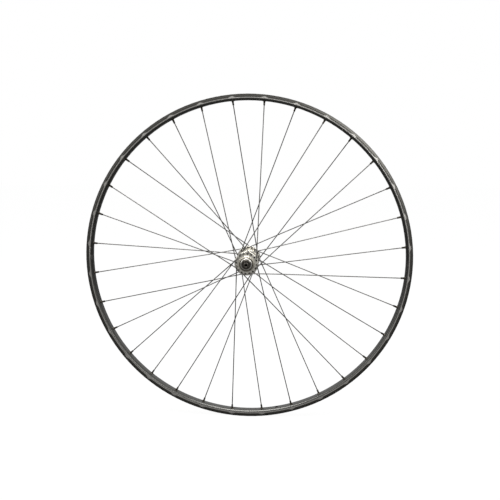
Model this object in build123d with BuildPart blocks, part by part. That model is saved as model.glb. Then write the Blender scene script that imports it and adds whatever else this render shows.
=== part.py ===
"""A 32-spoke bicycle front wheel for a tubular tyre, with a hollow quick-release axle.

The origin is the middle of the wheel, on the axle's centre line. The axle lies along Y, with
the rider's right-hand side towards -Y, and +Z is up.
"""

from build123d import *
from math import asin, cos, degrees, hypot, pi, radians, sin
import os

os.makedirs("parts", exist_ok=True)

# ---- driving sizes, in millimetres and degrees --------------------------------------

# Rim
RIM_RADIUS = 316.5  # to the tips of the lips
RIM_WIDTH = 20.0
RIM_DEPTH = 12.0
RIM_WALL = 1.25
RIM_CORNER = 5.2  # rounding between side wall and spoke face
SIDE_WALL_DROP = 3.6  # from the lip's tip to where the side wall reaches full width
LIP_INSET = 0.5  # the lip's outer edge stands this far inside the full width
LIP_WIDTH = 1.0
BED_DEPTH = 3.4  # the tyre bed's middle below the lips' tips
VALVE_HOLE_RADIUS = 3.25
ACCESS_HOLE_RADIUS = 4.1  # in the tyre bed, where each nipple goes in

# Lacing
SPOKE_COUNT = 32
CROSSINGS = 3
WHEEL_TURN = 5.36  # how far the first rim hole is turned from +X, towards +Z
NIPPLE_OFFSET = 1.5  # the rim holes' stagger to each side

# Spokes, nipples and eyelets
SPOKE_END_RADIUS = 1.0
SPOKE_MIDDLE_RADIUS = 0.9
ROOT_LENGTH = 22.0  # thick stretch at the hub
TAIL_LENGTH = 26.0  # thick stretch at the rim
TAPER_LENGTH = 6.0
SPOKE_HEAD_RADIUS = 1.9
SPOKE_HEAD_LENGTH = 1.0
CROSSING_BEND = 70.0
EDGE_BEND = 12.0
NIPPLE_RADIUS = 2.0
NIPPLE_HEAD_RADIUS = 2.9
NIPPLE_HEAD_LENGTH = 2.4
NIPPLE_SHANK = 9.6
NIPPLE_FLATS = 3.3
NIPPLE_FLATS_LENGTH = 5.0
NIPPLE_SLOT_WIDTH = 1.0
NIPPLE_SLOT_DEPTH = 0.9
EYELET_WALL = 0.5
EYELET_LIP = 0.75  # how far the eyelet's lips stand out over the hole's edge
ELBOW_SHARPNESS = 2.2  # the elbow's bend over the spoke's own radius

# Hub shell
OVER_LOCKNUTS = 100.0
FLANGE_INSET = 15.0  # locknut face to the middle of the flange
FLANGE_RADIUS = 23.0
FLANGE_THICKNESS = 2.8
FLANGE_EDGE_THICKNESS = 2.0
SPOKE_CIRCLE_RADIUS = 19.5
BARREL_RADIUS = 8.5
BARREL_WALL = 1.6
SHELL_WALL = 2.5  # round the bearing
BARREL_FLARE = 11.0  # length over which the barrel widens to the flange
NECK_LENGTH = 2.4  # plain stretch of the shell behind the flange
FLANGE_ROOT = 1.7  # fillets where the flange leaves the shell
FLANGE_ROUNDING = 0.8  # at the flange's edge
NOSE_ROUNDING = 1.2  # at the shell's open end
MOUTH_CHAMFER = 0.7
HOLE_SINK = 0.62  # the spoke holes' chamfer over the spoke's radius

# Bearings
BALL_RADIUS = 2.381  # 3/16 inch balls
CONTACT_ANGLE = 45.0
BALL_SPACING = 2.12  # between neighbours on the ball circle, over the ball's radius
RACE_OPENING = 10.0  # each race ends this many degrees short of the axle's direction
CONE_WALL = 1.16  # under the deepest point of its race
CONE_SHOULDER = 0.5  # the cone's outer radius inside the ball circle's
CONE_LENGTH = 6.7  # ball circle to the cone's outer end
CONE_FLATS = 13.0
CONE_FLATS_LENGTH = 2.7
CUP_WALL = 0.97
CUP_DEPTH = 3.65  # ball circle to the cup's inner end
CUP_LIP = 3.4  # ball circle to the cup's outer end

# Dust caps, washers, locknuts and axle
CAP_WALL = 0.8
CAP_RIM = 0.5  # the cap's brim stands out this far over the cup
CAP_BRIM = 0.6  # the flat ring round the cap's dome
CAP_RISE = 2.9
CAP_SHOULDER = 1.5
WASHER_RADIUS = 7.4
WASHER_THICKNESS = 1.2
LOCKNUT_RADIUS = 8.8
LOCKNUT_THICKNESS = 4.6
LOCKNUT_FLATS = 16.0
LOCKNUT_FLATS_LENGTH = 2.6
LOCKNUT_BEVEL = 0.35
SERRATIONS = 24
SERRATION_DEPTH = 0.3
SERRATION_WIDTH = 0.5
AXLE_RADIUS = 4.5
AXLE_BORE_RADIUS = 2.6
AXLE_STUB = 4.0  # what stands out past each locknut
AXLE_CHAMFER = 0.5
RELIEF_WIDTH = 1.0  # thread run-out groove under each locknut's face
RELIEF_DEPTH = 0.3
KEYWAY_WIDTH = 1.6
KEYWAY_DEPTH = 0.8

# Clearances
PRESS_GAP = 0.03  # between pressed or screwed pieces
SEAT_GAP = 0.05  # between pieces that rest on each other
RACE_GAP = 0.06  # ball to race
RUNNING_GAP = 0.5  # between turning and standing pieces
SPOKE_GAP = 0.08  # spoke to flange face
HOLE_GAP = 0.3  # spoke to its hole in the flange
THREAD_GAP = 0.05  # spoke to nipple
EYELET_GAP = 0.4  # nipple to eyelet, so that the nipple can lean

# ---- sizes worked out from those ----------------------------------------------------

FROM_BASE = (Align.CENTER, Align.CENTER, Align.MIN)

WHEEL = Plane.XZ  # seen from the right-hand side: X right, Y up, Z towards the viewer
RIGHT, LEFT = 1, -1  # direction along the wheel plane's Z
LEADING, TRAILING = 1, -1  # which way the hub end of a spoke is turned from its rim end

SPOKES_PER_SET = SPOKE_COUNT // 4
HOLE_STEP = 360 / SPOKE_COUNT
FLANGE_STEP = 2 * HOLE_STEP
HUB_LEAD = CROSSINGS * FLANGE_STEP  # hub hole to rim hole, round the wheel
CROSSING_TURN = HUB_LEAD - FLANGE_STEP / 2  # hub hole to the outermost crossing

INNER_FACE = RIM_RADIUS - RIM_DEPTH
EYELET_BORE = NIPPLE_RADIUS + EYELET_GAP
EYELET_BARREL = EYELET_BORE + EYELET_WALL
EYELET_REACH = EYELET_BARREL + EYELET_LIP
SEAT_RADIUS = INNER_FACE + RIM_WALL + SEAT_GAP + EYELET_WALL

FLANGE_MIDDLE = OVER_LOCKNUTS / 2 - FLANGE_INSET
FLANGE_FACE = FLANGE_MIDDLE + FLANGE_THICKNESS / 2
FLANGE_BACK = FLANGE_MIDDLE - FLANGE_THICKNESS / 2
FLANGE_HOLE_RADIUS = SPOKE_END_RADIUS + HOLE_GAP
HOLE_CHAMFER = HOLE_SINK * SPOKE_END_RADIUS
ELBOW_RADIUS = ELBOW_SHARPNESS * SPOKE_END_RADIUS

LOCKNUT_INNER = OVER_LOCKNUTS / 2 - LOCKNUT_THICKNESS
WASHER_INNER = LOCKNUT_INNER - WASHER_THICKNESS
BALL_PLACE = WASHER_INNER - CONE_LENGTH
AXLE_END = OVER_LOCKNUTS / 2 + AXLE_STUB

RACE_RADIUS = BALL_RADIUS + RACE_GAP
PITCH_RADIUS = AXLE_RADIUS + PRESS_GAP + CONE_WALL + RACE_RADIUS
BALL_COUNT = int(2 * pi * PITCH_RADIUS / (BALL_SPACING * BALL_RADIUS))
CUP_RADIUS = PITCH_RADIUS + RACE_RADIUS + CUP_WALL
CUP_BORE = CUP_RADIUS + PRESS_GAP
CUP_SEAT = BALL_PLACE - CUP_DEPTH - SEAT_GAP
CUP_END = BALL_PLACE + CUP_LIP
CAP_SEAT = CUP_END + SEAT_GAP
CAP_RADIUS = CUP_RADIUS + CAP_RIM
SHELL_RADIUS = CUP_BORE + SHELL_WALL
SHELL_END = CAP_SEAT + 2 * CAP_WALL
CONE_RADIUS = PITCH_RADIUS - CONE_SHOULDER
BORE_RADIUS = AXLE_RADIUS + PRESS_GAP


def section(side: int) -> Plane:
    """The half plane for turned profiles: X runs out along the axle, Y is the radius."""
    return Plane(origin=(0, 0, 0), x_dir=(0, -side, 0), z_dir=(-side, 0, 0))


def on_wheel(radius: float, angle: float, out: float) -> Vector:
    """A point in the wheel plane's own coordinates."""
    return Vector(radius * cos(radians(angle)), radius * sin(radians(angle)), out)


def rim_angle(index: int) -> float:
    """The angle of a rim hole: odd ones belong to the right flange."""
    return WHEEL_TURN + HOLE_STEP * index


def first_hole(side: int, hand: int) -> float:
    """The first rim hole of a set of spokes, which repeats every fourth hole."""
    order = [(LEFT, TRAILING), (RIGHT, LEADING), (LEFT, LEADING), (RIGHT, TRAILING)]
    return rim_angle(order.index((side, hand)))


def radial_plane(angle: float, out: float) -> Plane:
    """A plane across a spoke hole's own radius of the wheel, facing away from the hub."""
    place = WHEEL.from_local_coords((0, 0, out))
    outward = WHEEL.from_local_coords(on_wheel(1, angle, 0))
    return Plane(origin=place, x_dir=(0, 1, 0), z_dir=outward)


def hole_planes() -> list[Plane]:
    """One plane for each spoke hole in the rim, with its origin on the axle."""
    side_of = {0: LEFT, 1: RIGHT}
    return [radial_plane(rim_angle(i), side_of[i % 2] * NIPPLE_OFFSET) for i in range(SPOKE_COUNT)]


def valve_plane() -> Plane:
    """The valve hole lies midway between two spoke holes, near the bottom of the wheel."""
    return radial_plane(rim_angle(3 * SPOKE_COUNT // 4) + HOLE_STEP / 2, 0)


# ---- rim ----------------------------------------------------------------------------

half_width = RIM_WIDTH / 2
lip_outer = half_width - LIP_INSET

with BuildPart() as rim:
    with BuildSketch(Plane.YZ):
        with BuildLine():
            face = Line((0, INNER_FACE), (half_width - RIM_CORNER, INNER_FACE))
            corner = TangentArc(
                face @ 1, (half_width, INNER_FACE + RIM_CORNER), tangent=face % 1
            )
            wall = Line(corner @ 1, (half_width, RIM_RADIUS - SIDE_WALL_DROP))
            lean = Line(wall @ 1, (lip_outer, RIM_RADIUS - LIP_WIDTH / 2))
            tip = ThreePointArc(
                lean @ 1,
                (lip_outer - LIP_WIDTH / 2, RIM_RADIUS),
                (lip_outer - LIP_WIDTH, RIM_RADIUS - LIP_WIDTH / 2),
            )
            bed_edge = tip @ 1
            bed = ThreePointArc(
                bed_edge, (0, RIM_RADIUS - BED_DEPTH), (-bed_edge.X, bed_edge.Y)
            )
            mirror([face, corner, wall, lean, tip], about=Plane.YZ)
        make_face()
        offset(amount=-RIM_WALL, kind=Kind.INTERSECTION, mode=Mode.SUBTRACT)
    revolve(axis=Axis.Y)
    with Locations(*hole_planes()):
        Cylinder(EYELET_BARREL + SEAT_GAP, SEAT_RADIUS, align=FROM_BASE, mode=Mode.SUBTRACT)
    with Locations(*[plane.offset(SEAT_RADIUS) for plane in hole_planes()]):
        Cylinder(ACCESS_HOLE_RADIUS, RIM_DEPTH, align=FROM_BASE, mode=Mode.SUBTRACT)
    with Locations(valve_plane()):
        Cylinder(VALVE_HOLE_RADIUS, RIM_RADIUS, align=FROM_BASE, mode=Mode.SUBTRACT)
rim.part.label = "rim"

# ---- eyelets ------------------------------------------------------------------------

with BuildPart() as eyelet:
    with BuildSketch(Plane.XZ):
        with BuildLine():
            under = -EYELET_WALL - SEAT_GAP
            over = RIM_WALL + SEAT_GAP
            Polyline(
                (EYELET_BORE, under),
                (EYELET_REACH - EYELET_WALL / 2, under),
                (EYELET_REACH, under + EYELET_WALL / 2),
                (EYELET_REACH, -SEAT_GAP),
                (EYELET_BARREL, -SEAT_GAP),
                (EYELET_BARREL, over),
                (EYELET_REACH, over),
                (EYELET_REACH - EYELET_WALL / 2, over + EYELET_WALL),
                (EYELET_BORE, over + EYELET_WALL),
                close=True,
            )
        make_face()
    revolve(axis=Axis.Z)

with BuildPart() as spoke_eyelets:
    with Locations(*[plane.offset(INNER_FACE) for plane in hole_planes()]):
        add(eyelet.part)
spoke_eyelets.part.label = "spoke_eyelets"

# ---- the course of a spoke ----------------------------------------------------------


def ray_radius(turn: float) -> float:
    """How far from the axle a spoke passes, at an angle from its hub hole."""
    across = SPOKE_CIRCLE_RADIUS * SEAT_RADIUS * sin(radians(HUB_LEAD))
    along_hub = SPOKE_CIRCLE_RADIUS * sin(radians(turn))
    along_rim = SEAT_RADIUS * sin(radians(HUB_LEAD - turn))
    return across / (along_hub + along_rim)


def edge_turn() -> float:
    """The angle from a spoke's hub hole at which it is clear of the flange's edge."""
    clear_radius = FLANGE_RADIUS + SPOKE_END_RADIUS
    spoke_length = hypot(
        SEAT_RADIUS * cos(radians(HUB_LEAD)) - SPOKE_CIRCLE_RADIUS,
        SEAT_RADIUS * sin(radians(HUB_LEAD)),
    )
    lean = asin(SEAT_RADIUS * sin(radians(HUB_LEAD)) / spoke_length)
    return degrees(lean) - degrees(asin(SPOKE_CIRCLE_RADIUS * sin(lean) / clear_radius))


def spoke_corners(side: int, hand: int) -> list[Vector]:
    """The corners of a spoke whose rim hole is at angle 0, in the wheel plane.

    Trailing spokes run on the outside of their flange and pass behind the last spoke that they
    cross. Leading spokes run on its inside and pass in front of it.
    """
    hub_angle = hand * HUB_LEAD
    outside = -hand  # 1 on the outer side of the flange, -1 on the inner side
    lift = FLANGE_THICKNESS / 2 + SPOKE_END_RADIUS + SPOKE_GAP
    head_lift = (FLANGE_THICKNESS + SPOKE_HEAD_LENGTH) / 2 + SEAT_GAP
    head = on_wheel(SPOKE_CIRCLE_RADIUS, hub_angle, side * (FLANGE_MIDDLE - outside * head_lift))
    elbow = on_wheel(SPOKE_CIRCLE_RADIUS, hub_angle, side * (FLANGE_MIDDLE + outside * lift))
    seat = on_wheel(SEAT_RADIUS, 0, side * NIPPLE_OFFSET)

    cross = on_wheel(ray_radius(CROSSING_TURN), hub_angle - hand * CROSSING_TURN, 0)
    share = hypot(cross.X - elbow.X, cross.Y - elbow.Y) / hypot(seat.X - elbow.X, seat.Y - elbow.Y)
    middle = FLANGE_MIDDLE + (NIPPLE_OFFSET - FLANGE_MIDDLE) * share
    cross.Z = side * (middle - outside * (SPOKE_MIDDLE_RADIUS + SEAT_GAP))
    if hand == LEADING:
        return [head, elbow, cross, seat]

    edge = on_wheel(ray_radius(edge_turn()), hub_angle - hand * edge_turn(), 0)
    edge.Z = side * (FLANGE_MIDDLE + FLANGE_EDGE_THICKNESS / 2 + SPOKE_END_RADIUS + SPOKE_GAP)
    return [head, elbow, edge, cross, seat]


def make_head() -> Part:
    """A spoke's head, rounded on its far side, with Z towards the elbow."""
    with BuildPart() as head:
        Cylinder(SPOKE_HEAD_RADIUS, SPOKE_HEAD_LENGTH)
        fillet(head.edges().group_by(Axis.Z)[0], SPOKE_HEAD_LENGTH / 2)
    return head.part


def make_spoke(side: int, hand: int) -> Part:
    """One spoke: a head, a thick root and tail, and a thinner middle between tapers."""
    button = make_head()
    corners = spoke_corners(side, hand)
    head, elbow, cross, seat = corners[0], corners[1], corners[-2], corners[-1]
    inward = (cross - corners[-3]).normalized()
    outward = (seat - cross).normalized()
    end = seat + outward * (NIPPLE_HEAD_LENGTH - NIPPLE_SLOT_DEPTH - SEAT_GAP)
    root_end = corners[-3] + inward * ROOT_LENGTH
    middle_start = root_end + inward * TAPER_LENGTH
    tail_start = end - outward * TAIL_LENGTH
    middle_end = tail_start - outward * TAPER_LENGTH
    root_bends = [ELBOW_RADIUS] + [EDGE_BEND] * (len(corners) - 4)

    with BuildPart() as spoke:
        with BuildLine() as root:
            FilletPolyline(*corners[:-2], root_end, radius=root_bends)
        with BuildSketch(Plane(origin=head, z_dir=elbow - head)):
            Circle(SPOKE_END_RADIUS)
        sweep(path=root.wire())
        with BuildLine() as shank:
            FilletPolyline(middle_start, cross, middle_end, radius=CROSSING_BEND)
        with BuildSketch(Plane(origin=middle_start, z_dir=inward)):
            Circle(SPOKE_MIDDLE_RADIUS)
        sweep(path=shank.wire())
        with Locations(Plane(origin=root_end, z_dir=inward)):
            Cone(SPOKE_END_RADIUS, SPOKE_MIDDLE_RADIUS, TAPER_LENGTH, align=FROM_BASE)
        with Locations(Plane(origin=middle_end, z_dir=outward)):
            Cone(SPOKE_MIDDLE_RADIUS, SPOKE_END_RADIUS, TAPER_LENGTH, align=FROM_BASE)
        with Locations(Plane(origin=tail_start, z_dir=outward)):
            Cylinder(SPOKE_END_RADIUS, TAIL_LENGTH, align=FROM_BASE)
        with Locations(Plane(origin=head, z_dir=elbow - head)):
            add(button)
    return spoke.part


def make_nipple() -> Part:
    """A nipple standing on its seat, with Z along the spoke and away from the hub."""
    bore = SPOKE_END_RADIUS + THREAD_GAP
    cone_top = NIPPLE_HEAD_RADIUS - NIPPLE_RADIUS
    bevel = (NIPPLE_RADIUS - bore) / 2
    with BuildPart() as nipple:
        with BuildSketch(Plane.XZ):
            with BuildLine():
                Polyline(
                    (bore, NIPPLE_HEAD_LENGTH),
                    (bore, -NIPPLE_SHANK),
                    (NIPPLE_RADIUS - bevel, -NIPPLE_SHANK),
                    (NIPPLE_RADIUS, bevel - NIPPLE_SHANK),
                    (NIPPLE_RADIUS, 0),
                    (NIPPLE_HEAD_RADIUS, cone_top),
                    (NIPPLE_HEAD_RADIUS, NIPPLE_HEAD_LENGTH - cone_top),
                    (NIPPLE_HEAD_RADIUS - cone_top, NIPPLE_HEAD_LENGTH),
                    close=True,
                )
            make_face()
        revolve(axis=Axis.Z)
        with BuildSketch(Plane.XY.offset(-NIPPLE_SHANK)):
            Circle(2 * NIPPLE_RADIUS)
            Rectangle(NIPPLE_FLATS, NIPPLE_FLATS, mode=Mode.SUBTRACT)
        extrude(amount=NIPPLE_FLATS_LENGTH, mode=Mode.SUBTRACT)
        with BuildSketch(Plane.XY.offset(NIPPLE_HEAD_LENGTH)):
            Rectangle(NIPPLE_SLOT_WIDTH, 3 * NIPPLE_HEAD_RADIUS)
        extrude(amount=-NIPPLE_SLOT_DEPTH, mode=Mode.SUBTRACT)
    return nipple.part


# ---- spokes and nipples -------------------------------------------------------------

SIDE_NAMES = {RIGHT: "right", LEFT: "left"}
HAND_NAMES = {LEADING: "leading", TRAILING: "trailing"}


def make_spoke_set(side: int, hand: int) -> Part:
    """Every spoke of one hand on one flange."""
    spoke = make_spoke(side, hand)
    with BuildPart(WHEEL) as spokes:
        with PolarLocations(0, SPOKES_PER_SET, start_angle=first_hole(side, hand)):
            add(spoke)
    return spokes.part


def make_nipple_set(side: int) -> Part:
    """Every nipple of one flange, each in line with its spoke."""
    nipple = make_nipple()
    with BuildPart(WHEEL) as nipples:
        for hand in HAND_NAMES:
            cross, seat = spoke_corners(side, hand)[-2:]
            with PolarLocations(0, SPOKES_PER_SET, start_angle=first_hole(side, hand)):
                with Locations(Plane(origin=seat, z_dir=seat - cross)):
                    add(nipple)
    return nipples.part


spoke_nodes = {}
for side, side_name in SIDE_NAMES.items():
    for hand, hand_name in HAND_NAMES.items():
        spoke_nodes[f"spokes_{side_name}_{hand_name}"] = make_spoke_set(side, hand)
    spoke_nodes[f"nipples_{side_name}"] = make_nipple_set(side)

# ---- hub shell ----------------------------------------------------------------------

neck = min(FLANGE_BACK, CUP_SEAT) - NECK_LENGTH
barrel_bore = BARREL_RADIUS - BARREL_WALL
mouth_radius = CAP_RADIUS + PRESS_GAP
flange_edges = [FLANGE_MIDDLE + way * FLANGE_EDGE_THICKNESS / 2 for way in (LEFT, RIGHT)]

with BuildPart() as hub_shell:
    with BuildSketch(Plane.YZ) as shell_section:
        with BuildLine():
            barrel = Line((0, BARREL_RADIUS), (neck - BARREL_FLARE, BARREL_RADIUS))
            flare = Spline(barrel @ 1, (neck, SHELL_RADIUS), tangents=((1, 0), (1, 0)))
            Polyline(
                flare @ 1,
                (FLANGE_BACK, SHELL_RADIUS),
                (FLANGE_BACK, SPOKE_CIRCLE_RADIUS),
                (flange_edges[0], FLANGE_RADIUS),
                (flange_edges[1], FLANGE_RADIUS),
                (FLANGE_FACE, SPOKE_CIRCLE_RADIUS),
                (FLANGE_FACE, SHELL_RADIUS),
                (SHELL_END, SHELL_RADIUS),
                (SHELL_END, mouth_radius),
                (CAP_SEAT, mouth_radius),
                (CAP_SEAT, CUP_BORE),
                (CUP_SEAT, CUP_BORE),
                (CUP_SEAT, barrel_bore),
                (0, barrel_bore),
                barrel @ 0,
            )
        make_face()
        roundings = [((place, SHELL_RADIUS), FLANGE_ROOT) for place in (FLANGE_BACK, FLANGE_FACE)]
        roundings += [((place, FLANGE_RADIUS), FLANGE_ROUNDING) for place in flange_edges]
        roundings += [((SHELL_END, SHELL_RADIUS), NOSE_ROUNDING)]
        for corner, radius in roundings:
            fillet(shell_section.vertices().sort_by_distance(corner)[0], radius)
        mouth = shell_section.vertices().sort_by_distance((SHELL_END, mouth_radius))[0]
        chamfer(mouth, MOUTH_CHAMFER)
        mirror(about=Plane.YZ)
    revolve(axis=Axis.Y)
    for side in SIDE_NAMES:
        first = first_hole(side, LEADING)
        flange = WHEEL.offset(side * FLANGE_MIDDLE)
        with Locations(flange):
            with PolarLocations(SPOKE_CIRCLE_RADIUS, SPOKE_COUNT // 2, start_angle=first):
                Cylinder(FLANGE_HOLE_RADIUS, FLANGE_THICKNESS, mode=Mode.SUBTRACT)
        for face_side in (RIGHT, LEFT):
            face_plane = flange.offset(face_side * (FLANGE_THICKNESS / 2 - HOLE_CHAMFER))
            radii = (FLANGE_HOLE_RADIUS, FLANGE_HOLE_RADIUS + HOLE_CHAMFER)[::face_side]
            rise = FROM_BASE if face_side == RIGHT else (Align.CENTER, Align.CENTER, Align.MAX)
            with Locations(face_plane):
                with PolarLocations(SPOKE_CIRCLE_RADIUS, SPOKE_COUNT // 2, start_angle=first):
                    Cone(*radii, HOLE_CHAMFER, align=rise, mode=Mode.SUBTRACT)
hub_shell.part.label = "hub_shell"

# ---- bearings -----------------------------------------------------------------------


def race_point(side_angle: float) -> tuple[float, float]:
    """A point of the race's circle round a ball: 0 points outwards along the axle."""
    angle = radians(side_angle)
    return (BALL_PLACE + RACE_RADIUS * cos(angle), PITCH_RADIUS + RACE_RADIUS * sin(angle))


def make_cup(side: int) -> Part:
    """The pressed cup: its race takes the balls' load outwards and towards the middle."""
    with BuildPart() as cup:
        with BuildSketch(section(side)):
            with BuildLine():
                race = ThreePointArc(
                    race_point(90), race_point(180 - CONTACT_ANGLE), race_point(180 - RACE_OPENING)
                )
                inner_radius = PITCH_RADIUS - BALL_RADIUS / 2
                Polyline(
                    race @ 1,
                    (BALL_PLACE - CUP_DEPTH + CUP_WALL, inner_radius),
                    (BALL_PLACE - CUP_DEPTH, inner_radius),
                    (BALL_PLACE - CUP_DEPTH, CUP_RADIUS),
                    (CUP_END, CUP_RADIUS),
                    (CUP_END, (race @ 0).Y),
                    race @ 0,
                )
            make_face()
        revolve(axis=Axis.Y)
    return cup.part


def make_balls(side: int) -> Part:
    """The loose balls of one bearing, evenly spaced on their circle."""
    with BuildPart() as balls:
        with Locations(WHEEL.offset(side * BALL_PLACE)):
            with PolarLocations(PITCH_RADIUS, BALL_COUNT):
                Sphere(BALL_RADIUS)
    return balls.part


def make_cone(side: int) -> Part:
    """The adjustable cone, with two wrench flats at its outer end."""
    with BuildPart() as cone:
        with BuildSketch(section(side)):
            with BuildLine():
                race = ThreePointArc(
                    race_point(-90), race_point(-CONTACT_ANGLE), race_point(-RACE_OPENING)
                )
                nose = BALL_PLACE - BALL_RADIUS / 2
                Polyline(
                    race @ 1,
                    (BALL_PLACE + RACE_RADIUS + CONE_WALL / 2, CONE_RADIUS),
                    (WASHER_INNER, CONE_RADIUS),
                    (WASHER_INNER, BORE_RADIUS),
                    (nose, BORE_RADIUS),
                    (nose, (race @ 0).Y - CONE_WALL / 2),
                    (nose + CONE_WALL / 2, (race @ 0).Y),
                    race @ 0,
                )
            make_face()
        revolve(axis=Axis.Y)
        with BuildSketch(WHEEL.offset(side * WASHER_INNER)):
            Circle(2 * CONE_RADIUS)
            Rectangle(CONE_FLATS, 2 * CONE_RADIUS, mode=Mode.SUBTRACT)
        extrude(amount=-side * CONE_FLATS_LENGTH, mode=Mode.SUBTRACT)
    return cone.part


# ---- dust caps, washers and locknuts ------------------------------------------------


def make_dust_cap(side: int) -> Part:
    """The pressed cap: a flat brim in the shell's mouth and a dome down to the cone."""
    hole = max(CONE_RADIUS, WASHER_RADIUS) + RUNNING_GAP
    dome = CAP_RADIUS - CAP_BRIM
    base = CAP_SEAT + SEAT_GAP
    roof = base + CAP_RISE
    with BuildPart() as cap:
        with BuildSketch(section(side)) as cap_section:
            with BuildLine():
                Polyline(
                    (base, CAP_RADIUS),
                    (base + CAP_WALL, CAP_RADIUS),
                    (base + CAP_WALL, dome),
                    (roof + CAP_WALL, dome),
                    (roof + CAP_WALL, hole),
                    (roof, hole),
                    (roof, dome - CAP_WALL),
                    (base, dome - CAP_WALL),
                    close=True,
                )
            make_face()
            bends = [
                ((roof + CAP_WALL, dome), CAP_SHOULDER),
                ((roof, dome - CAP_WALL), CAP_SHOULDER - CAP_WALL),
            ]
            for corner, radius in bends:
                fillet(cap_section.vertices().sort_by_distance(corner)[0], radius)
        revolve(axis=Axis.Y)
    return cap.part


def make_washer(side: int) -> Part:
    """The keyed washer, whose tongue lies in the axle's keyway."""
    with BuildPart() as washer:
        with BuildSketch(WHEEL.offset(side * (WASHER_INNER + SEAT_GAP))):
            Circle(WASHER_RADIUS)
            Circle(BORE_RADIUS, mode=Mode.SUBTRACT)
            with Locations((0, AXLE_RADIUS - KEYWAY_DEPTH + SEAT_GAP)):
                Rectangle(
                    KEYWAY_WIDTH - 2 * SEAT_GAP,
                    2 * KEYWAY_DEPTH,
                    align=(Align.CENTER, Align.MIN),
                )
        extrude(amount=side * (WASHER_THICKNESS - 2 * SEAT_GAP))
    return washer.part


def make_locknut(side: int) -> Part:
    """The round locknut: two wrench flats and a serrated outer face."""
    face = OVER_LOCKNUTS / 2
    with BuildPart() as locknut:
        with BuildSketch(section(side)):
            with BuildLine():
                Polyline(
                    (LOCKNUT_INNER, BORE_RADIUS),
                    (LOCKNUT_INNER, LOCKNUT_RADIUS - LOCKNUT_BEVEL),
                    (LOCKNUT_INNER + LOCKNUT_BEVEL, LOCKNUT_RADIUS),
                    (face - LOCKNUT_BEVEL, LOCKNUT_RADIUS),
                    (face, LOCKNUT_RADIUS - LOCKNUT_BEVEL),
                    (face, BORE_RADIUS),
                    close=True,
                )
            make_face()
        revolve(axis=Axis.Y)
        with BuildSketch(WHEEL.offset(side * LOCKNUT_INNER)):
            Circle(2 * LOCKNUT_RADIUS)
            Rectangle(LOCKNUT_FLATS, 2 * LOCKNUT_RADIUS, mode=Mode.SUBTRACT)
        extrude(amount=side * LOCKNUT_FLATS_LENGTH, mode=Mode.SUBTRACT)
        middle = (LOCKNUT_RADIUS + AXLE_RADIUS) / 2
        with Locations(WHEEL.offset(side * face)):
            with PolarLocations(middle + LOCKNUT_BEVEL, SERRATIONS):
                Box(
                    LOCKNUT_RADIUS - AXLE_RADIUS - LOCKNUT_BEVEL,
                    SERRATION_WIDTH,
                    2 * SERRATION_DEPTH,
                    mode=Mode.SUBTRACT,
                )
    return locknut.part


side_parts = {
    "bearing_cup": make_cup,
    "bearing_balls": make_balls,
    "cone": make_cone,
    "dust_cap": make_dust_cap,
    "keyed_washer": make_washer,
    "locknut": make_locknut,
}
hub_nodes = {}
for name, make in side_parts.items():
    for side, side_name in SIDE_NAMES.items():
        hub_nodes[f"{name}_{side_name}"] = make(side)

# ---- axle ---------------------------------------------------------------------------

with BuildPart() as axle:
    with BuildSketch(WHEEL):
        Circle(AXLE_RADIUS)
        Circle(AXLE_BORE_RADIUS, mode=Mode.SUBTRACT)
    extrude(amount=AXLE_END, both=True)
    ends = axle.edges().filter_by(GeomType.CIRCLE).group_by(SortBy.RADIUS)[-1]
    chamfer(ends, AXLE_CHAMFER)
    for side in SIDE_NAMES:
        with BuildSketch(WHEEL.offset(side * BALL_PLACE)):
            with Locations((0, AXLE_RADIUS - KEYWAY_DEPTH)):
                Rectangle(KEYWAY_WIDTH, AXLE_RADIUS, align=(Align.CENTER, Align.MIN))
        extrude(amount=side * (AXLE_END - BALL_PLACE), mode=Mode.SUBTRACT)
        with BuildSketch(WHEEL.offset(side * OVER_LOCKNUTS / 2)):
            Circle(2 * AXLE_RADIUS)
            Circle(AXLE_RADIUS - RELIEF_DEPTH, mode=Mode.SUBTRACT)
        extrude(amount=-side * RELIEF_WIDTH, mode=Mode.SUBTRACT)
axle.part.label = "axle"

# ---- files --------------------------------------------------------------------------

export_step(rim.part, "parts/rim.step")
export_step(spoke_eyelets.part, "parts/spoke_eyelets.step")
export_step(hub_shell.part, "parts/hub_shell.step")
export_step(axle.part, "parts/axle.step")
for name, node in {**spoke_nodes, **hub_nodes}.items():
    node.label = name
    export_step(node, f"parts/{name}.step")
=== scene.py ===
"""The looks of a bicycle front wheel with a hollow quick-release axle.

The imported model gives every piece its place. This script dresses the pieces in their finishes,
cuts real threads on the axle, and sets the wheel in a plain white studio. Lengths are in metres,
with the axle along Y and the rider's right-hand side towards -Y.
"""

from __future__ import annotations

import logging
from dataclasses import dataclass, field
from enum import Enum
from math import cos, radians, sin, tau

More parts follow.
